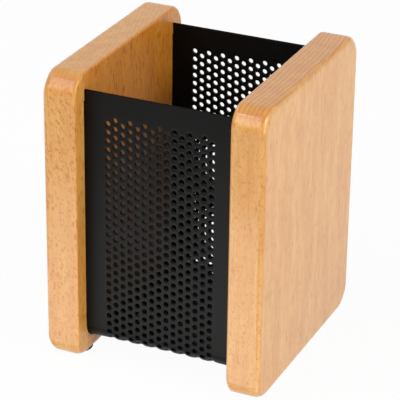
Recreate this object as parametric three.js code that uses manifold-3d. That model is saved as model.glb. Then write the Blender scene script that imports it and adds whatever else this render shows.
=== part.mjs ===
// Wooden pen holder: two upright beech side panels carry one strip of perforated sheet steel.
// The strip is bent into a U, so that its front, base and back are one piece.
// Its side edges sit in a groove routed in the inner face of each panel.
// Millimetres, +Z up, +Y to the back. The origin is on the table, under the middle of the holder.
import * as THREE from 'three';
import { mergeGeometries, mergeVertices } from 'three/addons/utils/BufferGeometryUtils.js';
import Module from 'manifold-3d';

const wasm = await Module();
wasm.setup();

// Side panels. Their edges are rounded outside, and only lightly broken towards the compartment.
const PANEL_THICKNESS = 12;
const PANEL_DEPTH = 79.5;
const PANEL_HEIGHT = 102;
const PANEL_CORNER_RADIUS = 7.5;
const OUTER_EDGE_ROUND = 2;
const INNER_EDGE_ROUND = 0.8;

// Clear width of the pen compartment, between the two panels
const COMPARTMENT_WIDTH = 53;

// Bent sheet: how far it stands inside the panels' outline, and its bends' outer radius
const SHEET_THICKNESS = 1;
const SHEET_BEND_RADIUS = 6.25;
const SHEET_FACE_MARGIN = 6.25;
const SHEET_TOP_MARGIN = 5.75;
const SHEET_BASE_MARGIN = 5.75;

// The sheet's upper corners are notched, so that the groove can stop below the sheet's top edge
const SHEET_NOTCH_HEIGHT = 4;
const GROOVE_DEPTH = 4;
const SEAT_CLEARANCE = 0.3;

// Perforation: holes in staggered columns, the same all along the strip.
// The margin is the least distance from a top edge to the middle of a hole.
const HOLE_DIAMETER = 3.5;
const HOLE_PITCH = 5.25;
const HOLE_FIELD_WIDTH = 36.4;
const HOLE_TOP_MARGIN = 9;

// Round foot pads, one near the front and one near the back of each panel,
// and how far their rims stand inside the panel's inner face and its front or back
const PAD_THICKNESS = 1;
const PAD_DIAMETER = 9.5;
const PAD_SIDE_MARGIN = 0.8;
const PAD_END_MARGIN = 6.7;

// How many flats stand for a quarter turn, and the sides of a hole and of a pad.
// An arc of a shape gets two flats for each curve segment asked for.
const CORNER_STEPS = 8;
const EDGE_STEPS = 4;
const BEND_STEPS = 6;
const HOLE_SIDES = 6;
const PAD_SIDES = 32;

// Heights and places that follow from the sizes above
const panelBottom = PAD_THICKNESS;
const panelTop = panelBottom + PANEL_HEIGHT;
const panelOuterX = COMPARTMENT_WIDTH / 2 + PANEL_THICKNESS;
const sheetBottom = panelBottom + SHEET_BASE_MARGIN;
const sheetTop = panelTop - SHEET_TOP_MARGIN;
const sheetDepth = PANEL_DEPTH - 2 * SHEET_FACE_MARGIN;
const sheetWidth = COMPARTMENT_WIDTH + 2 * (GROOVE_DEPTH - SEAT_CLEARANCE);
const notchBottom = sheetTop - SHEET_NOTCH_HEIGHT;

// Middle of each bend, and the lengths along the sheet's middle surface
const bendY = sheetDepth / 2 - SHEET_BEND_RADIUS;
const bendZ = sheetBottom + SHEET_BEND_RADIUS;
const middleRadius = SHEET_BEND_RADIUS - SHEET_THICKNESS / 2;
const legLength = sheetTop - bendZ;
const bendLength = middleRadius * Math.PI / 2;
const stripLength = 2 * (legLength + bendLength + bendY);

const beech = { color: 0xe6ba84, roughness: 0.45, metalness: 0 };
const blackCoating = { color: 0x211f1e, roughness: 0.55, metalness: 0.1 };
const blackRubber = { color: 0x1c1615, roughness: 0.9, metalness: 0 };

// A closed geometry as a solid that can be joined and cut
function toSolid(geometry) {
  const bare = geometry.clone();
  bare.deleteAttribute('normal');
  bare.deleteAttribute('uv');
  const merged = mergeVertices(bare);
  return new wasm.Manifold(new wasm.Mesh({
    numProp: 3,
    vertProperties: merged.attributes.position.array,
    triVerts: merged.index.array,
  }));
}

// A solid back as a geometry with flat faces
function toGeometry(solid) {
  const { vertProperties, triVerts } = solid.getMesh();
  const geometry = new THREE.BufferGeometry();
  geometry.setAttribute('position', new THREE.BufferAttribute(vertProperties, 3));
  geometry.setIndex(new THREE.BufferAttribute(triVerts, 1));
  const flat = geometry.toNonIndexed();
  flat.computeVertexNormals();
  return flat;
}

function namedMesh(name, geometry, finish) {
  const mesh = new THREE.Mesh(geometry, new THREE.MeshStandardMaterial(finish));
  mesh.name = name;
  return mesh;
}

// A rectangle with round corners, centred on the origin
function roundedRectangle(width, height, radius) {
  const x = width / 2 - radius;
  const y = height / 2 - radius;
  const shape = new THREE.Shape();
  shape.absarc(x, y, radius, 0, Math.PI / 2);
  shape.absarc(-x, y, radius, Math.PI / 2, Math.PI);
  shape.absarc(-x, -y, radius, Math.PI, 1.5 * Math.PI);
  shape.absarc(x, -y, radius, 1.5 * Math.PI, 2 * Math.PI);
  return shape;
}

// Turns an extrusion so that its outline's x runs along Y, its y along Z and its depth along X
function turnAlongX(geometry) {
  const alongX = new THREE.Vector3(1, 0, 0);
  const alongY = new THREE.Vector3(0, 1, 0);
  const alongZ = new THREE.Vector3(0, 0, 1);
  return geometry.applyMatrix4(new THREE.Matrix4().makeBasis(alongY, alongZ, alongX));
}

// The bent sheet's section in Y and Z, open at the top, with each face moved out by `grow`
function bentSection(grow, top) {
  const outerY = sheetDepth / 2 + grow;
  const innerY = sheetDepth / 2 - SHEET_THICKNESS - grow;
  const outerRadius = SHEET_BEND_RADIUS + grow;
  const innerRadius = SHEET_BEND_RADIUS - SHEET_THICKNESS - grow;
  const shape = new THREE.Shape();
  shape.moveTo(-innerY, top);
  shape.lineTo(-outerY, top);
  shape.absarc(-bendY, bendZ, outerRadius, Math.PI, 1.5 * Math.PI);
  shape.absarc(bendY, bendZ, outerRadius, 1.5 * Math.PI, 2 * Math.PI);
  shape.lineTo(outerY, top);
  shape.lineTo(innerY, top);
  shape.absarc(bendY, bendZ, innerRadius, 2 * Math.PI, 1.5 * Math.PI, true);
  shape.absarc(-bendY, bendZ, innerRadius, 1.5 * Math.PI, Math.PI, true);
  return shape;
}

// The bent section as a solid of the given width across the compartment
function bentSolid(grow, top, width) {
  const options = { depth: width, bevelEnabled: false, curveSegments: BEND_STEPS / 2 };
  const geometry = new THREE.ExtrudeGeometry(bentSection(grow, top), options);
  geometry.translate(0, 0, -width / 2);
  return toSolid(turnAlongX(geometry));
}

// A point on the sheet's middle surface at the distance `along` from the front's top edge,
// and the angle about X that turns a front hole's axis into the one there
function stripPlace(along) {
  const isBack = along > stripLength / 2;
  const fromTop = isBack ? stripLength - along : along;
  const turned = THREE.MathUtils.clamp((fromTop - legLength) / middleRadius, 0, Math.PI / 2);
  const down = Math.min(fromTop, legLength);
  const across = Math.max(fromTop - legLength - bendLength, 0);
  const y = -bendY - middleRadius * Math.cos(turned) + across;
  const z = sheetTop - down - middleRadius * Math.sin(turned);
  return { y: isBack ? -y : y, z, tilt: isBack ? -turned : turned };
}

// Every hole of the perforation as a prism through the sheet
function holePrisms() {
  const columnPitch = HOLE_PITCH * Math.sqrt(3) / 2;
  const lastColumn = Math.floor(HOLE_FIELD_WIDTH / columnPitch);
  const lastRow = Math.floor((stripLength - 2 * HOLE_TOP_MARGIN) / HOLE_PITCH - 0.5);
  const firstAlong = (stripLength - (lastRow + 0.5) * HOLE_PITCH) / 2;
  const prisms = [];
  for (let column = 0; column <= lastColumn; column += 1) {
    const x = (column - lastColumn / 2) * columnPitch;
    const stagger = column % 2 === 0 ? HOLE_PITCH / 2 : 0;
    for (let row = 0; row <= lastRow; row += 1) {
      const place = stripPlace(firstAlong + stagger + row * HOLE_PITCH);
      const radius = HOLE_DIAMETER / 2;
      const prism = new THREE.CylinderGeometry(radius, radius, 3 * SHEET_THICKNESS, HOLE_SIDES);
      prism.rotateX(place.tilt);
      prism.translate(x, place.y, place.z);
      prisms.push(prism);
    }
  }
  return toSolid(mergeGeometries(prisms));
}

// The parts of the sheet's upper corners that are cut away, at both sides
function cornerNotches() {
  const neckWidth = COMPARTMENT_WIDTH - 2 * SEAT_CLEARANCE;
  const notchWidth = sheetWidth - neckWidth;
  const notches = [-1, 1].map((side) => {
    const box = new THREE.BoxGeometry(notchWidth, sheetDepth + 2, 2 * SHEET_NOTCH_HEIGHT);
    return box.translate(side * (neckWidth + notchWidth) / 2, 0, sheetTop);
  });
  return toSolid(mergeGeometries(notches));
}

function makePerforatedSheet() {
  const blank = bentSolid(0, sheetTop, sheetWidth);
  const sheet = blank.subtract(cornerNotches()).subtract(holePrisms());
  return namedMesh('perforated_sheet', toGeometry(sheet), blackCoating);
}

// A closed solid through convex outlines with equally many points, in order of their place along X.
// Each outline runs anticlockwise, seen from +X.
function loft(sections) {
  const count = sections[0].outline.length;
  const positions = [];
  for (const { x, outline } of sections) {
    outline.forEach((point) => positions.push(x, point.x, point.y));
  }
  const index = [];
  const last = (sections.length - 1) * count;
  for (let ring = 0; ring < last; ring += count) {
    for (let k = 0; k < count; k += 1) {
      const here = ring + k;
      const after = ring + (k + 1) % count;
      index.push(here, after, after + count, here, after + count, here + count);
    }
  }
  for (let k = 1; k + 1 < count; k += 1) {
    index.push(0, k + 1, k);
    index.push(last, last + k, last + k + 1);
  }
  const geometry = new THREE.BufferGeometry();
  geometry.setAttribute('position', new THREE.Float32BufferAttribute(positions, 3));
  geometry.setIndex(index);
  return toSolid(geometry);
}

// A panel's outline in Y and Z, `inset` smaller all round
function panelOutline(inset) {
  const width = PANEL_DEPTH - 2 * inset;
  const height = PANEL_HEIGHT - 2 * inset;
  const points = roundedRectangle(width, height, PANEL_CORNER_RADIUS - inset).getPoints(CORNER_STEPS / 2);
  return points.map((point) => point.setY(point.y + panelBottom + PANEL_HEIGHT / 2));
}

// One panel, lofted over the rounds of its two faces' edges, with the U-shaped groove in its inner face
function makeSidePanel(name, side, groove) {
  const sections = [];
  for (let step = 0; step <= EDGE_STEPS; step += 1) {
    const angle = step / EDGE_STEPS * Math.PI / 2;
    const below = 1 - Math.sin(angle);
    const inset = 1 - Math.cos(angle);
    const outerX = side * (panelOuterX - OUTER_EDGE_ROUND * below);
    const innerX = side * (COMPARTMENT_WIDTH / 2 + INNER_EDGE_ROUND * below);
    sections.push({ x: outerX, outline: panelOutline(OUTER_EDGE_ROUND * inset) });
    sections.push({ x: innerX, outline: panelOutline(INNER_EDGE_ROUND * inset) });
  }
  sections.sort((one, other) => one.x - other.x);
  return namedMesh(name, toGeometry(loft(sections).subtract(groove)), beech);
}

function makeFootPad(name, side, end) {
  const radius = PAD_DIAMETER / 2;
  const pad = new THREE.CylinderGeometry(radius, radius, PAD_THICKNESS, PAD_SIDES);
  const mesh = namedMesh(name, pad.rotateX(Math.PI / 2), blackRubber);
  const x = COMPARTMENT_WIDTH / 2 + PAD_SIDE_MARGIN + radius;
  const y = PANEL_DEPTH / 2 - PAD_END_MARGIN - radius;
  mesh.position.set(side * x, end * y, PAD_THICKNESS / 2);
  return mesh;
}

const grooveWidth = COMPARTMENT_WIDTH + 2 * GROOVE_DEPTH;
const groove = bentSolid(SEAT_CLEARANCE, notchBottom + SEAT_CLEARANCE, grooveWidth);

const penHolder = new THREE.Group();
penHolder.add(makePerforatedSheet());
for (const [side, sideName] of [[-1, 'left'], [1, 'right']]) {
  penHolder.add(makeSidePanel(`side_panel_${sideName}`, side, groove));
  penHolder.add(makeFootPad(`foot_pad_front_${sideName}`, side, -1));
  penHolder.add(makeFootPad(`foot_pad_back_${sideName}`, side, 1));
}

export default penHolder;
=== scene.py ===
from math import cos, pi, radians, sin, sqrt

import bmesh
import bpy
from mathutils import Matrix, Vector


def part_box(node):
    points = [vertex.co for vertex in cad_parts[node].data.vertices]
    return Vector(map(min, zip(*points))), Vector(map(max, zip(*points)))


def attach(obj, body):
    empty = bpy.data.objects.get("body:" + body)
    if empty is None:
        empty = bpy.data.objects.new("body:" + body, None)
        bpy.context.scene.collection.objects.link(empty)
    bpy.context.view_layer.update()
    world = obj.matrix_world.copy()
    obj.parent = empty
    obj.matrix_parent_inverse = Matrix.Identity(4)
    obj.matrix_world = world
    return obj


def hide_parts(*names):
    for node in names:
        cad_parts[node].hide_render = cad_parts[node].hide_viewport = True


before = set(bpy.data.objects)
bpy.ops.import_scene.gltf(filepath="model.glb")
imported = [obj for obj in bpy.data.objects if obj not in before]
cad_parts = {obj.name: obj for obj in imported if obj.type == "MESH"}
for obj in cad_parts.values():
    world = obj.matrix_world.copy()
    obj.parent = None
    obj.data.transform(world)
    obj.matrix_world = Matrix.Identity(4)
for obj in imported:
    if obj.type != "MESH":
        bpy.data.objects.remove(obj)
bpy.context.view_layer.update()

# Lengths are in metres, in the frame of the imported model. The sheet's own sizes, its seat in the
# groove and the panels' corners repeat the part's driving sizes.
SHEET_THICKNESS = 0.001
SHEET_BEND_RADIUS = 0.00625
SHEET_NOTCH_HEIGHT = 0.004
SEAT_CLEARANCE = 0.0003
NECK_CLEARANCE = 0.00005
SHEET_EDGE_ROUND = 0.0001
SHEET_EDGE_SEGMENTS = 2
SHEET_EDGE_ANGLE = radians(60)
SHEET_SHARP_ANGLE = radians(50)
GROOVE_BEND_STEPS = 12

# Along the bends the metal is pressed in at every second column of holes, by six tenths of this
# at most
BEND_DIMPLE = 0.0011

# The real perforation: round holes in staggered columns, the same all along the strip
HOLE_DIAMETER = 0.00176
HOLE_PITCH = 0.003
HOLE_COLUMNS = 15
HOLES_PER_COLUMN = 75
POINTS_PER_CELL_SIDE = 4

# Points of a mesh closer than the first distance are one, and a cut closer to a point than the
# second runs through it
MERGE_DISTANCE = 1e-6
CUT_DISTANCE = 1e-7

# Side panels. Each edge's round has four sizes: on the upright sides, along the top, along the
# bottom, and what sanding took off besides at the corners.
PANEL_CORNER_RADIUS = 0.0075
OUTER_ROUND = (0.0020, 0.0020, 0.0026, 0.0006)
LEFT_INNER_ROUND = (0.0008, 0.0009, 0.0030, 0.0006)
RIGHT_INNER_ROUND = (0.0019, 0.0013, 0.0014, 0.0002)
CORNER_STEPS = 20
EDGE_STEPS = 8
PANEL_SHARP_ANGLE = radians(35)

# Foot pads
PAD_TOP_RADIUS = 0.0045
PAD_DOME_INSET = 0.0016
PAD_DOME_STEPS = 8
PAD_SIDES = 48
PAD_SHARP_ANGLE = radians(35)

# Camera, from a fit to the photograph's hole grids and panel edges
CAMERA_PLACE = (0.25976, -0.57821, 0.35295)
CAMERA_AZIMUTH = radians(24.2615)
CAMERA_ELEVATION = radians(25.5646)
CAMERA_ROLL = radians(0.7417)
CAMERA_LENS = 189.08
CAMERA_SENSOR_WIDTH = 36
CAMERA_CLIP_START = 0.01

# Floor, and the shaded ground under the bent sheet's base, which no light from the table reaches
# through its holes
FLOOR_HALF_SIZE = 3.0
FLOOR_COLOUR = (0.94, 0.94, 0.94, 1)
FLOOR_WHITENESS = 0.96
SHADE_HALF_WIDTH = 0.026
SHADE_FRONT = -0.014
SHADE_BACK = 0.034
SHADE_SOFTNESS = 0.004

# Lights. A soft box has a name, an azimuth and elevation in degrees, a distance, a size and a
# power in watts.
WHITE = (1, 1, 1, 1)
AMBIENT_STRENGTH = 0.08
SOFT_BOX_TARGET = (0, 0, 0.05)
SOFT_BOXES = (
    ("key_box", -45.5, 58.7, 1.2, 0.12, 0.9),
    ("front_box", -30, 38, 1.4, 1.1, 11.5),
    ("left_box", -80, 48, 1.3, 0.6, 2.7),
    ("top_box", 80, 34, 1.3, 0.4, 6.0),
    ("right_box", 73, 12, 1.3, 0.7, 5.6),
)
TABLE_LAMP_PLACE = (-0.03, -0.105, 0.0008)
TABLE_LAMP_WIDTH = 0.16
TABLE_LAMP_LENGTH = 0.12
TABLE_LAMP_POWER = 0.15


def link(name, mesh):
    piece = bpy.data.objects.new(name, mesh)
    bpy.context.scene.collection.objects.link(piece)
    return piece


def mesh_from(bm, name):
    bmesh.ops.recalc_face_normals(bm, faces=bm.faces)
    mesh = bpy.data.meshes.new(name)
    bm.to_mesh(mesh)
    bm.free()
    return mesh


# Smooth faces with crisp flats: an edge over the angle stays sharp, and big faces keep their own
# normal
def smooth(piece, angle):
    piece.data.shade_smooth()
    piece.data.set_sharp_from_angle(angle=angle)
    weighted = piece.modifiers.new("weighted_normals", "WEIGHTED_NORMAL")
    weighted.keep_sharp = True


# Faces between rings of points, and across the first and the last ring
def skin(bm, rings):
    for near, far in zip(rings, rings[1:]):
        for k in range(len(near)):
            after = (k + 1) % len(near)
            bm.faces.new((near[k], near[after], far[after], far[k]))
    bm.faces.new(rings[0])
    bm.faces.new(rings[-1])


def make_camera():
    az, el = CAMERA_AZIMUTH, CAMERA_ELEVATION
    back = Vector((sin(az) * cos(el), -cos(az) * cos(el), sin(el)))
    right = Vector((cos(az), sin(az), 0))
    up = back.cross(right)
    rolled_right = right * cos(CAMERA_ROLL) + up * sin(CAMERA_ROLL)
    rolled_up = up * cos(CAMERA_ROLL) - right * sin(CAMERA_ROLL)
    data = bpy.data.cameras.new("camera")
    data.lens = CAMERA_LENS
    data.sensor_width = CAMERA_SENSOR_WIDTH
    data.clip_start = CAMERA_CLIP_START
    camera = link("camera", data)
    turn = Matrix((rolled_right, rolled_up, back)).transposed()
    camera.matrix_world = Matrix.Translation(CAMERA_PLACE) @ turn.to_4x4()
    bpy.context.scene.camera = camera


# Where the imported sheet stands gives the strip's width, length and bends
class Strip:
    def __init__(self):
        low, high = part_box("perforated_sheet")
        self.width = high.x - low.x
        self.top = high.z
        self.bend_y = high.y - SHEET_BEND_RADIUS
        self.bend_z = low.z + SHEET_BEND_RADIUS
        self.middle_radius = SHEET_BEND_RADIUS - SHEET_THICKNESS / 2
        self.leg = self.top - self.bend_z
        self.bend = self.middle_radius * pi / 2
        self.length = 2 * (self.leg + self.bend + self.bend_y)
        self.first_hole = (self.length - (HOLES_PER_COLUMN - 0.5) * HOLE_PITCH) / 2

    # How far round its bend the strip has turned at a way along it
    def turned(self, along):
        from_top = min(along, self.length - along)
        return min(max((from_top - self.leg) / self.middle_radius, 0), pi / 2)

    # A point by its way across the strip, along it from the front's top edge, and out from the
    # middle of its thickness
    def place(self, across, along, out):
        is_back = along > self.length / 2
        from_top = self.length - along if is_back else along
        turned = self.turned(along)
        down = min(from_top, self.leg)
        inward = max(from_top - self.leg - self.bend, 0)
        radius = self.middle_radius + out
        y = -self.bend_y - radius * cos(turned) + inward
        z = self.top - down - radius * sin(turned)
        return Vector((across, -y if is_back else y, z))


# One hexagonal cell of the perforation: a ring of faces between its outline and its hole
def add_cell(bm, across, along):
    points = 6 * POINTS_PER_CELL_SIDE
    radius = HOLE_DIAMETER / 2
    outline = []
    rim = []
    for k in range(points):
        angle = 2 * pi * k / points
        to_side = (angle % (pi / 3)) - pi / 6
        reach = HOLE_PITCH / 2 / cos(to_side)
        outline.append(bm.verts.new((across + reach * cos(angle), along + reach * sin(angle), 0)))
        rim.append(bm.verts.new((across + radius * cos(angle), along + radius * sin(angle), 0)))
    for k in range(points):
        after = (k + 1) % points
        bm.faces.new((outline[k], outline[after], rim[after], rim[k]))
    return rim


# How far the metal at a point of the flat blank is pressed in by the bend
def dimple(strip, across, along):
    column_pitch = HOLE_PITCH * sqrt(3) / 2
    from_middle = across / column_pitch
    if abs(from_middle) > (HOLE_COLUMNS + 1) / 2:
        return 0
    turned = strip.turned(along)
    flute = sin(pi * from_middle / 2) ** 4
    swell = (sin(turned) * sin(2 * turned)) ** 2
    return BEND_DIMPLE * flute * swell


# Faces from a stretch of the field's outline out to a straight edge of the strip
def add_margin(bm, edges, move):
    partner = {}
    for edge in edges:
        for vert in edge.verts:
            if vert not in partner:
                partner[vert] = bm.verts.new(move(vert.co))
    for edge in edges:
        a, b = edge.verts
        bm.faces.new((a, b, partner[b], partner[a]))


# The field's outer edges, by the side of the strip that they face
def field_sides(bm, rims, side_line, strip_length):
    sides = {name: [] for name in ("left", "right", "front", "back")}
    for edge in bm.edges:
        if not edge.is_boundary or edge.verts[0] in rims:
            continue
        xs = [v.co.x for v in edge.verts]
        if max(xs) <= -side_line:
            sides["left"].append(edge)
        elif min(xs) >= side_line:
            sides["right"].append(edge)
        elif edge.verts[0].co.y < strip_length / 2:
            sides["front"].append(edge)
        else:
            sides["back"].append(edge)
    return sides


# The flat blank: the field of holes, and the plain margins round it
def flat_sheet(strip):
    bm = bmesh.new()
    column_pitch = HOLE_PITCH * sqrt(3) / 2
    middle = (HOLE_COLUMNS - 1) / 2
    rims = set()
    for column in range(HOLE_COLUMNS):
        stagger = HOLE_PITCH / 2 if column % 2 == 0 else 0
        for row in range(HOLES_PER_COLUMN):
            along = strip.first_hole + stagger + row * HOLE_PITCH
            rims.update(add_cell(bm, (column - middle) * column_pitch, along))
    outer = [v for v in bm.verts if v not in rims]
    bmesh.ops.remove_doubles(bm, verts=outer, dist=MERGE_DISTANCE)

    half_width = strip.width / 2
    side_line = middle * column_pitch + HOLE_PITCH / 2 / sqrt(3) - MERGE_DISTANCE
    sides = field_sides(bm, rims, side_line, strip.length)
    add_margin(bm, sides["left"], lambda co: (-half_width, co.y, 0))
    add_margin(bm, sides["right"], lambda co: (half_width, co.y, 0))
    add_margin(bm, sides["front"], lambda co: (co.x, 0, 0))
    add_margin(bm, sides["back"], lambda co: (co.x, strip.length, 0))

    # The four corner rectangles between the margins
    lows = min(v.co.y for e in sides["left"] for v in e.verts)
    highs = max(v.co.y for e in sides["left"] for v in e.verts)
    edge_x = min(v.co.x for e in sides["front"] for v in e.verts)
    for x0, x1 in ((-half_width, edge_x), (-edge_x, half_width)):
        for y0, y1 in ((0, lows), (highs, strip.length)):
            corners = ((x0, y0), (x1, y0), (x1, y1), (x0, y1))
            bm.faces.new([bm.verts.new((x, y, 0)) for x, y in corners])
    bmesh.ops.remove_doubles(bm, verts=bm.verts, dist=MERGE_DISTANCE)
    return bm


# The notches at the blank's four corners, which let its ends stand between the panels
def cut_notches(bm, strip):
    panel_face = -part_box("side_panel_left")[1].x
    neck = panel_face - NECK_CLEARANCE
    notch_ends = (SHEET_NOTCH_HEIGHT, strip.length - SHEET_NOTCH_HEIGHT)
    cuts = [((x, 0, 0), (1, 0, 0)) for x in (-neck, neck)]
    cuts += [((0, y, 0), (0, 1, 0)) for y in notch_ends]
    for place, normal in cuts:
        everything = bm.verts[:] + bm.edges[:] + bm.faces[:]
        bmesh.ops.bisect_plane(
            bm, geom=everything, plane_co=place, plane_no=normal, dist=CUT_DISTANCE,
        )
    notched = []
    for face in bm.faces:
        centre = face.calc_center_median()
        from_end = min(centre.y, strip.length - centre.y)
        if abs(centre.x) > neck and from_end < SHEET_NOTCH_HEIGHT:
            notched.append(face)
    bmesh.ops.delete(bm, geom=notched, context="FACES")


# The blank's thickness, with a small round on every edge
def thicken(bm):
    half = SHEET_THICKNESS / 2
    grown = bmesh.ops.extrude_face_region(bm, geom=bm.faces[:])
    raised = {g for g in grown["geom"] if isinstance(g, bmesh.types.BMVert)}
    for vert in bm.verts:
        vert.co.z = half if vert in raised else -half
    bmesh.ops.recalc_face_normals(bm, faces=bm.faces)
    rims = [e for e in bm.edges if e.is_manifold and e.calc_face_angle() > SHEET_EDGE_ANGLE]
    rims = [e for e in rims if abs(e.verts[0].co.z - e.verts[1].co.z) < half]
    bmesh.ops.bevel(
        bm, geom=rims, offset=SHEET_EDGE_ROUND, segments=SHEET_EDGE_SEGMENTS, profile=0.5,
        affect="EDGES", clamp_overlap=False,
    )


def make_sheet(strip):
    bm = flat_sheet(strip)
    cut_notches(bm, strip)
    thicken(bm)
    for vert in bm.verts:
        across, along, out = vert.co
        vert.co = strip.place(across, along, out - dimple(strip, across, along))
    sheet = link("perforated_sheet_visual", mesh_from(bm, "perforated_sheet_visual"))
    smooth(sheet, SHEET_SHARP_ANGLE)
    return sheet


# How large an edge's round is where the outline faces along (y, z)
def edge_round(sizes, y, z):
    side, top, bottom, corner = sizes
    end = top if z > 0 else bottom
    return side * y * y + end * z * z + corner * 2 * abs(y * z)


# The outline of a panel where its edge's round has turned by an angle: 0 on the flat rim, a quarter
# turn on the wide face. The wide face is at face_x, and inward is the way from it into the wood.
def panel_ring(low, high, sizes, turned, face_x, inward):
    points = []
    corners = (
        (high.y - PANEL_CORNER_RADIUS, high.z - PANEL_CORNER_RADIUS, 0),
        (low.y + PANEL_CORNER_RADIUS, high.z - PANEL_CORNER_RADIUS, pi / 2),
        (low.y + PANEL_CORNER_RADIUS, low.z + PANEL_CORNER_RADIUS, pi),
        (high.y - PANEL_CORNER_RADIUS, low.z + PANEL_CORNER_RADIUS, 3 * pi / 2),
    )
    for y, z, start in corners:
        for k in range(CORNER_STEPS + 1):
            angle = start + k * pi / 2 / CORNER_STEPS
            size = edge_round(sizes, cos(angle), sin(angle))
            radius = PANEL_CORNER_RADIUS - size * (1 - cos(turned))
            x = face_x + inward * size * (1 - sin(turned))
            points.append((x, y + radius * cos(angle), z + radius * sin(angle)))
    return points


def panel_solid(low, high):
    bm = bmesh.new()
    is_left = high.x < 0
    low_sizes = OUTER_ROUND if is_left else RIGHT_INNER_ROUND
    high_sizes = LEFT_INNER_ROUND if is_left else OUTER_ROUND
    turns = [k * pi / 2 / EDGE_STEPS for k in range(EDGE_STEPS + 1)]
    outlines = [panel_ring(low, high, low_sizes, t, low.x, 1) for t in reversed(turns)]
    outlines += [panel_ring(low, high, high_sizes, t, high.x, -1) for t in turns]
    skin(bm, [[bm.verts.new(point) for point in outline] for outline in outlines])
    return bm


# The U-shaped groove as a solid to cut with
def groove_solid(strip):
    bm = bmesh.new()
    reach = strip.width / 2 + SEAT_CLEARANCE
    half = SHEET_THICKNESS / 2 + SEAT_CLEARANCE
    corners = ((-reach, -half), (reach, -half), (reach, half), (-reach, half))
    bend_steps = range(1, GROOVE_BEND_STEPS + 1)
    stops = [SHEET_NOTCH_HEIGHT - SEAT_CLEARANCE, strip.leg]
    stops += [strip.leg + k * strip.bend / GROOVE_BEND_STEPS for k in bend_steps]
    stops += [strip.length - s for s in reversed(stops)]
    rings = []
    for along in stops:
        rings.append([bm.verts.new(strip.place(x, along, out)) for x, out in corners])
    skin(bm, rings)
    return link("groove_cutter", mesh_from(bm, "groove_cutter"))


def make_panel(node, cutter):
    low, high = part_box(node)
    panel = link(node + "_visual", mesh_from(panel_solid(low, high), node + "_visual"))
    cut = panel.modifiers.new("groove", "BOOLEAN")
    cut.operation = "DIFFERENCE"
    cut.solver = "EXACT"
    cut.object = cutter
    bpy.context.view_layer.update()
    evaluated = panel.evaluated_get(bpy.context.evaluated_depsgraph_get())
    grooved = bpy.data.meshes.new_from_object(evaluated)
    panel.modifiers.clear()
    panel.data = grooved
    smooth(panel, PANEL_SHARP_ANGLE)
    return panel


# A foot pad is a low rubber dome, a quarter of an ellipse turned round, with a flat underside
def make_pad(node):
    low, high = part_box(node)
    middle = (low + high) / 2
    bm = bmesh.new()
    rings = []
    for k in range(PAD_DOME_STEPS + 1):
        rise = k * pi / 2 / PAD_DOME_STEPS
        radius = PAD_TOP_RADIUS - PAD_DOME_INSET * (1 - sin(rise))
        z = low.z + (high.z - low.z) * (1 - cos(rise))
        ring = []
        for j in range(PAD_SIDES):
            angle = 2 * pi * j / PAD_SIDES
            place = (middle.x + radius * cos(angle), middle.y + radius * sin(angle), z)
            ring.append(bm.verts.new(place))
        rings.append(ring)
    skin(bm, rings)
    pad = link(node + "_visual", mesh_from(bm, node + "_visual"))
    smooth(pad, PAD_SHARP_ANGLE)
    return pad


# Short ways to build node trees
class Nodes:
    def __init__(self, tree):
        self.tree = tree

    def add(self, kind, **settings):
        node = self.tree.nodes.new(kind)
        for name, value in settings.items():
            setattr(node, name, value)
        return node

    def put(self, value, socket):
        if isinstance(value, bpy.types.NodeSocket):
            self.tree.links.new(value, socket)
        elif value is not None:
            socket.default_value = value

    def math(self, operation, a, b=None):
        node = self.add("ShaderNodeMath", operation=operation)
        for value, socket in zip((a, b), node.inputs):
            self.put(value, socket)
        return node.outputs[0]

    def times(self, first, *others):
        product = first
        for value in others:
            product = self.math("MULTIPLY", product, value)
        return product

    def vector(self, operation, a, b=None):
        node = self.add("ShaderNodeVectorMath", operation=operation)
        self.put(a, node.inputs[0])
        self.put(b, node.inputs[1])
        return node.outputs["Value"] if operation == "LENGTH" else node.outputs[0]

    def split(self, vector):
        node = self.add("ShaderNodeSeparateXYZ")
        self.put(vector, node.inputs[0])
        return node.outputs

    # A value mapped from one range to another, smoothly and held at both ends
    def ramp(self, value, low, high, to_low=0.0, to_high=1.0):
        node = self.add("ShaderNodeMapRange", interpolation_type="SMOOTHSTEP")
        for number, socket in zip((value, low, high, to_low, to_high), node.inputs):
            self.put(number, socket)
        return node.outputs[0]

    def fall(self, value, low, high):
        return self.ramp(value, low, high, 1.0, 0.0)

    def noise(self, vector, scale, detail, roughness=0.5):
        node = self.add("ShaderNodeTexNoise")
        self.put(vector, node.inputs["Vector"])
        node.inputs["Scale"].default_value = scale
        node.inputs["Detail"].default_value = detail
        node.inputs["Roughness"].default_value = roughness
        return node.outputs[0]

    # The colours of a mix node are its sockets 6 and 7, and its result is socket 2
    def mix(self, factor, a, b, blend="MIX"):
        node = self.add("ShaderNodeMix", data_type="RGBA", blend_type=blend, clamp_factor=True)
        self.put(factor, node.inputs[0])
        self.put(a, node.inputs[6])
        self.put(b, node.inputs[7])
        return node.outputs[2]

    def bump(self, height, distance, strength):
        node = self.add("ShaderNodeBump")
        node.inputs["Strength"].default_value = strength
        node.inputs["Distance"].default_value = distance
        self.put(height, node.inputs["Height"])
        return node.outputs[0]


# A colour from its screen values, 0 to 255
def screen(red, green, blue):
    def linear(value):
        value /= 255
        return value / 12.92 if value <= 0.04045 else ((value + 0.055) / 1.055) ** 2.4
    return (linear(red), linear(green), linear(blue), 1)


# The middle of a noise's range, where nearly all its values lie
NOISE_SPREAD = (0.3, 0.7)

# Between these the share of a normal along an axis counts from not at all to fully
FACING_SPREAD = (0.45, 0.8)

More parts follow.
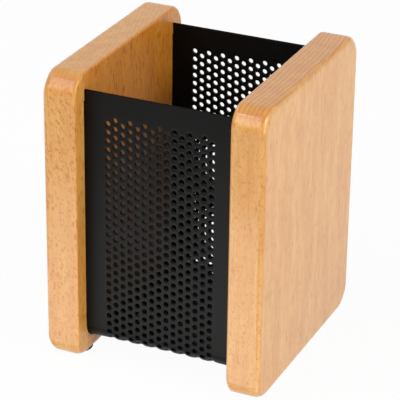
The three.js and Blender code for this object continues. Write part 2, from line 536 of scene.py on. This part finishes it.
# Beech's figure, in features to the millimetre along x, y and z. The growth rings' waver and
# spacing are in millimetres.
FIBRE_SCALE = (2.2, 1.4, 0.08)
PORE_SCALE = (5.0, 5.0, 0.4)
TONE_SCALE = (0.22, 0.16, 0.02)
PATCH_SCALE = (0.5, 0.35, 0.16)
RING_WAVER_SCALE = (0.05, 0.05, 0.02)
RING_WAVER = 3.0
RING_SPACING = 1.5
RING_DARKENS = (0.45, 0.9)
RING_ENDS = (0.9, 1.0)
DASH_MARKS = {"lean": 0, "scale": (1.0, 1.9, 0.36), "low": 0.60, "high": 0.68}
SPECK_MARKS = {"lean": 18, "scale": (1.9, 0.6, 0.75), "low": 0.54, "high": 0.70}
FLECK_MARKS = {"lean": 32, "scale": (1.3, 0.5, 0.55), "low": 0.64, "high": 0.74}

# How strongly each figure shows. The dashes are fainter on the outer faces than on the inner ones.
FIBRE_SPREAD = (0.35, 0.72)
FIBRE_STRENGTH = 0.30
PORE_SPREAD = (0.5, 0.8)
PORE_STRENGTH = 0.40
PATCH_STRENGTH = 0.36
DASH_STRENGTHS = (0.42, 0.95)
SPECK_STRENGTH = 0.76

PALE_WOOD = screen(231, 175, 98)
DEEP_WOOD = screen(222, 159, 80)
PATCH_WOOD = screen(212, 140, 58)
FIBRE_WOOD = screen(192, 120, 50)
RING_WOOD = screen(166, 92, 38)
PORE_WOOD = screen(160, 88, 36)
DASH_WOOD = screen(184, 104, 24)
SPECK_WOOD = screen(196, 118, 26)
FLECK_WOOD = screen(198, 110, 20)

# Places on the panels, each a soft step along one axis of the object
END_GRAIN_CLEARS_Z = (0.02, 0.08)
INNER_FACE_X = (0.0265, 0.0295)
COMPARTMENT_Y = (0.0325, 0.0335)
COMPARTMENT_FLOOR_Z = (0.006, 0.008)
DAYLIGHT_Z = (0.05, 0.085)
TOP_ROUND_START_Z = (0.0955, 0.0985)
TOP_ROUND_END_Z = (0.1010, 0.1028)
UPRIGHT_ROUND_Z = (0.025, 0.085)
BOTTOM_ROUND_Z = (0.0060, 0.0085)
UPRIGHT_ROUND_SPREAD = (0.0, 0.3)
LEAST_END_GRAIN = 0.3

# What the wood's colour is multiplied by at those places, all of it painted shade and painted light
INNER_PAINTED_SHADE = (1.0, 0.93, 0.74, 1)
DEEP_INSIDE_PAINTED_SHADE = (0.60, 0.67, 0.84, 1)
UPPER_INSIDE_PAINTED_SHADE = (1.0, 0.86, 0.46, 1)
SLANT_PAINTED_SHADE = (0.84, 0.69, 0.46, 1)
UPRIGHT_ROUND_PAINTED_LIGHT = (1.14, 1.26, 1.66, 1)
BOTTOM_ROUND_PAINTED_LIGHT = (1.22, 1.32, 1.42, 1)

WOOD_ROUGHNESS = (0.30, 0.38)
WOOD_SPECULAR = 0.44
LACQUER_ROUGHNESS = 0.11
WOOD_RELIEF = 0.00003
WOOD_RELIEF_STRENGTH = 0.5
PORE_RELIEF_SHARE = 0.5

# Powder coating: broad clouds and a fine grain, and a dull cut edge along the sheet's top
POWDER_DARK = (0.0030, 0.0027, 0.0024, 1)
POWDER_LIGHT = (0.0041, 0.0037, 0.0034, 1)
POWDER_CLOUD_SCALE = 0.09
POWDER_GRAIN_SCALE = 7.0
POWDER_ROUGHNESS = (0.34, 0.44)
POWDER_SPECULAR = 0.09
POWDER_RELIEF = 0.00003
POWDER_RELIEF_STRENGTH = 0.3
TOP_EDGE_Z = (0.0965, 0.0970)

RUBBER_DARK = (0.010, 0.0085, 0.008, 1)
RUBBER_LIGHT = (0.018, 0.015, 0.014, 1)
RUBBER_GRAIN_SCALE = 3.0
RUBBER_ROUGHNESS = (0.75, 0.9)
RUBBER_SPECULAR = 0.3
RUBBER_RELIEF = 0.00005
RUBBER_RELIEF_STRENGTH = 0.4


def new_material(name):
    material = bpy.data.materials.new(name)
    material.use_nodes = True
    tree = material.node_tree
    shader = tree.nodes["Principled BSDF"]
    return material, Nodes(tree), shader


# The place on the object, in metres and in millimetres
def object_place(n):
    metres = n.add("ShaderNodeTexCoord").outputs["Object"]
    return metres, n.vector("MULTIPLY", metres, (1000, 1000, 1000))


# How squarely a face looks along each axis of the object, from 0 to 1
def facing(n):
    normal = n.add("ShaderNodeTexCoord").outputs["Normal"]
    return [n.ramp(axis, *FACING_SPREAD) for axis in n.split(n.vector("ABSOLUTE", normal))]


# Noise with so many features to the millimetre along each axis
def streaks(n, mm, scale, detail, roughness=0.5):
    return n.noise(n.vector("MULTIPLY", mm, scale), 1.0, detail, roughness)


# Short marks: noise stretched along the last axis, which leans from the upright by the angle in
# the X-Z plane, and cut at a high level. The scale is in features to the millimetre.
def marks(n, mm, lean, scale, low, high):
    turned = n.add("ShaderNodeMapping")
    turned.inputs["Rotation"].default_value = (0, radians(lean), 0)
    n.put(mm, turned.inputs["Vector"])
    level = streaks(n, turned.outputs[0], scale, detail=1.0, roughness=0.4)
    return n.ramp(level, low, high)


# Growth rings round the pith, each darkening slowly and ending sharply
def ring_lines(n, mm, pith):
    slow = streaks(n, mm, RING_WAVER_SCALE, detail=2.0)
    waver = n.times(n.math("SUBTRACT", slow, 0.5), RING_WAVER)
    across = n.vector("MULTIPLY", n.vector("ADD", mm, pith), (1, 1, 0))
    radius = n.math("ADD", n.vector("LENGTH", across), waver)
    phase = n.math("FRACT", n.math("DIVIDE", radius, RING_SPACING))
    return n.times(n.ramp(phase, *RING_DARKENS), n.fall(phase, *RING_ENDS))


# Lacquered beech. The growth rings show as lines on the end grain at the top and bottom.
# The narrow front and back faces show leaning ray flecks, as strong as the figure says, and the
# wide faces short upright dashes. The inner faces have no lacquer, and carry a painted shade of
# warm bounced light. Inside the compartment a painted shade makes the wood a deeper orange near
# the top and a dull brown lower down. On the upper rounded corners a painted shade makes it darker.
# On the lower ones, and low down on the upright rounds, painted light makes it paler.
def beech(name, pith, seed, figure, rings, lacquer, end_tint, top_round_painted_shade):
    material, n, shader = new_material(name)
    metres, millimetres = object_place(n)
    mm = n.vector("ADD", millimetres, seed)
    x, y, z = n.split(metres)
    wide, narrow, end = facing(n)
    upper = n.ramp(z, *END_GRAIN_CLEARS_Z, LEAST_END_GRAIN, 1.0)
    end = n.times(end, upper)
    inner = n.times(n.fall(n.math("ABSOLUTE", x), *INNER_FACE_X), wide)
    rays = n.times(narrow, figure)

    fibre = streaks(n, mm, FIBRE_SCALE, detail=3.0, roughness=0.6)
    pores = streaks(n, mm, PORE_SCALE, detail=2.0, roughness=0.6)
    tone = streaks(n, mm, TONE_SCALE, detail=2.0)
    patch = streaks(n, mm, PATCH_SCALE, detail=3.0)
    dash_strength = n.ramp(inner, 0.0, 1.0, *DASH_STRENGTHS)
    layers = (
        (n.ramp(patch, *NOISE_SPREAD, 0.0, PATCH_STRENGTH), PATCH_WOOD),
        (n.ramp(fibre, *FIBRE_SPREAD, 0.0, FIBRE_STRENGTH), FIBRE_WOOD),
        (n.times(ring_lines(n, mm, pith), end, rings), RING_WOOD),
        (n.times(n.ramp(pores, *PORE_SPREAD, 0.0, PORE_STRENGTH), end), PORE_WOOD),
        (n.times(marks(n, mm, **DASH_MARKS), wide, dash_strength), DASH_WOOD),
        (n.times(marks(n, mm, **SPECK_MARKS), rays, SPECK_STRENGTH), SPECK_WOOD),
        (n.times(marks(n, mm, **FLECK_MARKS), rays), FLECK_WOOD),
    )
    colour = n.mix(n.ramp(tone, *NOISE_SPREAD), PALE_WOOD, DEEP_WOOD)
    for amount, layer in layers:
        colour = n.mix(amount, colour, layer)

    # Painted shade inside the compartment, between the sheets and above its floor: a deeper orange
    # near the top, a dull brown lower down
    between_sheets = n.fall(n.math("ABSOLUTE", y), *COMPARTMENT_Y)
    inside = n.times(between_sheets, n.ramp(z, *COMPARTMENT_FLOOR_Z), inner)
    inside_painted_shade = n.mix(n.ramp(z, *DAYLIGHT_Z), DEEP_INSIDE_PAINTED_SHADE, UPPER_INSIDE_PAINTED_SHADE)
    rim = n.math("SUBTRACT", 1.0, wide)
    top_round = n.times(n.ramp(z, *TOP_ROUND_START_Z), n.fall(z, *TOP_ROUND_END_Z))
    upright_round = n.ramp(n.times(wide, narrow), *UPRIGHT_ROUND_SPREAD)
    tints = (
        # painted shade: the inner faces' deeper, warmer colour of light bounced between the panels
        (inner, INNER_PAINTED_SHADE),
        (inside, inside_painted_shade),
        (end, end_tint),
        # painted shade on the upper rounded corners, between the front or back face and the top
        (n.times(narrow, end, upper), SLANT_PAINTED_SHADE),
        # painted shade on the top rounds, by each panel's own amount
        (n.times(top_round, rim), top_round_painted_shade),
        # painted light: the upright rounds paler and bluer low down
        (n.times(upright_round, n.fall(z, *UPRIGHT_ROUND_Z)), UPRIGHT_ROUND_PAINTED_LIGHT),
        # painted light on the lower rounds, standing in for light bounced up from the floor
        (n.times(n.fall(z, *BOTTOM_ROUND_Z), rim), BOTTOM_ROUND_PAINTED_LIGHT),
    )
    for amount, tint in tints:
        colour = n.mix(amount, colour, tint, "MULTIPLY")
    n.put(colour, shader.inputs["Base Color"])

    n.put(n.ramp(fibre, *NOISE_SPREAD, *WOOD_ROUGHNESS), shader.inputs["Roughness"])
    shader.inputs["Specular IOR Level"].default_value = WOOD_SPECULAR
    n.put(n.times(n.math("SUBTRACT", 1.0, inner), lacquer), shader.inputs["Coat Weight"])
    shader.inputs["Coat Roughness"].default_value = LACQUER_ROUGHNESS
    relief = n.math("SUBTRACT", fibre, n.times(pores, PORE_RELIEF_SHARE))
    n.put(n.bump(relief, WOOD_RELIEF, WOOD_RELIEF_STRENGTH), shader.inputs["Normal"])
    return material


# Fine black powder coating
def powder_coat():
    material, n, shader = new_material("black_powder_coat")
    metres, mm = object_place(n)
    cloud = n.noise(mm, POWDER_CLOUD_SCALE, detail=3.0)
    grain = n.noise(mm, POWDER_GRAIN_SCALE, detail=2.0, roughness=0.6)
    colour = n.mix(n.ramp(cloud, *NOISE_SPREAD), POWDER_DARK, POWDER_LIGHT)
    n.put(colour, shader.inputs["Base Color"])
    top_edge = n.times(n.ramp(n.split(metres)[2], *TOP_EDGE_Z), facing(n)[2])
    roughness = n.ramp(grain, *NOISE_SPREAD, *POWDER_ROUGHNESS)
    n.put(n.math("MAXIMUM", roughness, top_edge), shader.inputs["Roughness"])
    shader.inputs["Specular IOR Level"].default_value = POWDER_SPECULAR
    n.put(n.bump(grain, POWDER_RELIEF, POWDER_RELIEF_STRENGTH), shader.inputs["Normal"])
    return material


def rubber():
    material, n, shader = new_material("black_rubber")
    mm = object_place(n)[1]
    grain = n.noise(mm, RUBBER_GRAIN_SCALE, detail=3.0, roughness=0.6)
    n.put(n.mix(grain, RUBBER_DARK, RUBBER_LIGHT), shader.inputs["Base Color"])
    n.put(n.ramp(grain, *NOISE_SPREAD, *RUBBER_ROUGHNESS), shader.inputs["Roughness"])
    shader.inputs["Specular IOR Level"].default_value = RUBBER_SPECULAR
    n.put(n.bump(grain, RUBBER_RELIEF, RUBBER_RELIEF_STRENGTH), shader.inputs["Normal"])
    return material


# 1 where a ray comes from the camera, a mirror or glass, and otherwise 0
def seen_directly(n):
    path = n.add("ShaderNodeLightPath")
    seen = n.math("MAXIMUM", path.outputs["Is Camera Ray"], path.outputs["Is Glossy Ray"])
    return n.math("MAXIMUM", seen, path.outputs["Is Transmission Ray"])


# The floor's whiteness, none under the sheet's base, where the holder stands in its own shade
def floor_whiteness(n):
    x, y = n.split(n.add("ShaderNodeTexCoord").outputs["Object"])[:2]
    soft = SHADE_SOFTNESS
    side = n.ramp(n.math("ABSOLUTE", x), SHADE_HALF_WIDTH - soft, SHADE_HALF_WIDTH)
    front = n.fall(y, SHADE_FRONT, SHADE_FRONT + soft)
    back = n.ramp(y, SHADE_BACK - soft, SHADE_BACK)
    outside = n.math("MAXIMUM", side, n.math("MAXIMUM", front, back))
    return n.times(outside, FLOOR_WHITENESS)


# A mix of two shaders as the tree's output: the second by the factor, which is 1 for it alone
def put_mixed(n, factor, first, second, output_kind):
    mixed = n.add("ShaderNodeMixShader")
    n.put(factor, mixed.inputs[0])
    n.put(first.outputs[0], mixed.inputs[1])
    n.put(second.outputs[0], mixed.inputs[2])
    n.put(mixed.outputs[0], n.add(output_kind).inputs["Surface"])


# A shader of one colour. White at a strength of 1 shows as plain white.
def plain_shader(n, kind, colour, strength=None):
    shader = n.add(kind)
    shader.inputs["Color"].default_value = colour
    if strength is not None:
        shader.inputs["Strength"].default_value = strength
    return shader


def make_floor():
    s = FLOOR_HALF_SIZE
    mesh = bpy.data.meshes.new("floor")
    mesh.from_pydata([(-s, -s, 0), (s, -s, 0), (s, s, 0), (-s, s, 0)], [], [(0, 1, 2, 3)])
    floor = link("floor", mesh)
    material = bpy.data.materials.new("white_floor")
    material.use_nodes = True
    material.node_tree.nodes.clear()
    n = Nodes(material.node_tree)
    matt = plain_shader(n, "ShaderNodeBsdfDiffuse", FLOOR_COLOUR)
    white = plain_shader(n, "ShaderNodeEmission", WHITE, 1.0)
    whiteness = n.times(seen_directly(n), floor_whiteness(n))
    put_mixed(n, whiteness, matt, white, "ShaderNodeOutputMaterial")
    mesh.materials.append(material)


def make_world():
    world = bpy.data.worlds.new("studio")
    world.use_nodes = True
    world.node_tree.nodes.clear()
    n = Nodes(world.node_tree)
    ambient = plain_shader(n, "ShaderNodeBackground", WHITE, AMBIENT_STRENGTH)
    white = plain_shader(n, "ShaderNodeBackground", WHITE, 1.0)
    put_mixed(n, seen_directly(n), ambient, white, "ShaderNodeOutputWorld")
    bpy.context.scene.world = world


def area_lamp(name, width, length, power):
    data = bpy.data.lights.new(name, "AREA")
    data.shape = "RECTANGLE"
    data.size = width
    data.size_y = length
    data.energy = power
    return link(name, data)


# A soft box: a square lamp that faces the middle of the holder
def soft_box(name, azimuth, elevation, distance, size, power):
    lamp = area_lamp(name, size, size, power)
    target = Vector(SOFT_BOX_TARGET)
    az, el = radians(azimuth), radians(elevation)
    way = Vector((sin(az) * cos(el), -cos(az) * cos(el), sin(el)))
    lamp.location = target + way * distance
    lamp.rotation_euler = (target - lamp.location).to_track_quat("-Z", "Y").to_euler()


# The lit table in front of the holder, as glossy surfaces mirror it: a lamp that lies on it and
# shines up
def table_lamp():
    lamp = area_lamp("table_gloss", TABLE_LAMP_WIDTH, TABLE_LAMP_LENGTH, TABLE_LAMP_POWER)
    lamp.location = TABLE_LAMP_PLACE
    lamp.rotation_euler = (pi, 0, 0)
    lamp.visible_camera = False
    lamp.visible_diffuse = False


def finish_piece(piece, node, material):
    piece.data.materials.clear()
    piece.data.materials.append(material)
    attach(piece, "root")
    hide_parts(node)


make_camera()
make_floor()
make_world()
for box in SOFT_BOXES:
    soft_box(*box)
table_lamp()

strip = Strip()
cutter = groove_solid(strip)
left = make_panel("side_panel_left", cutter)
right = make_panel("side_panel_right", cutter)
bpy.data.objects.remove(cutter)
# Each panel's tint for its top rounds is painted shade
left_beech = beech(
    "beech_left", pith=(300, 60, 0), seed=(13, 7, 3), figure=1.0, rings=0.17, lacquer=0.3,
    end_tint=(1.0, 0.98, 0.92, 1), top_round_painted_shade=(0.93, 0.80, 0.52, 1),
)
right_beech = beech(
    "beech_right", pith=(330, 0, 0), seed=(71, 5, 29), figure=0.7, rings=0.46, lacquer=0.45,
    end_tint=(0.99, 0.91, 0.76, 1), top_round_painted_shade=(0.98, 0.93, 0.74, 1),
)
finish_piece(left, "side_panel_left", left_beech)
finish_piece(right, "side_panel_right", right_beech)
finish_piece(make_sheet(strip), "perforated_sheet", powder_coat())
pad_material = rubber()
for node in list(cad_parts):
    if node.startswith("foot_pad"):
        finish_piece(make_pad(node), node, pad_material)

bpy.context.scene.view_settings.view_transform = "Standard"
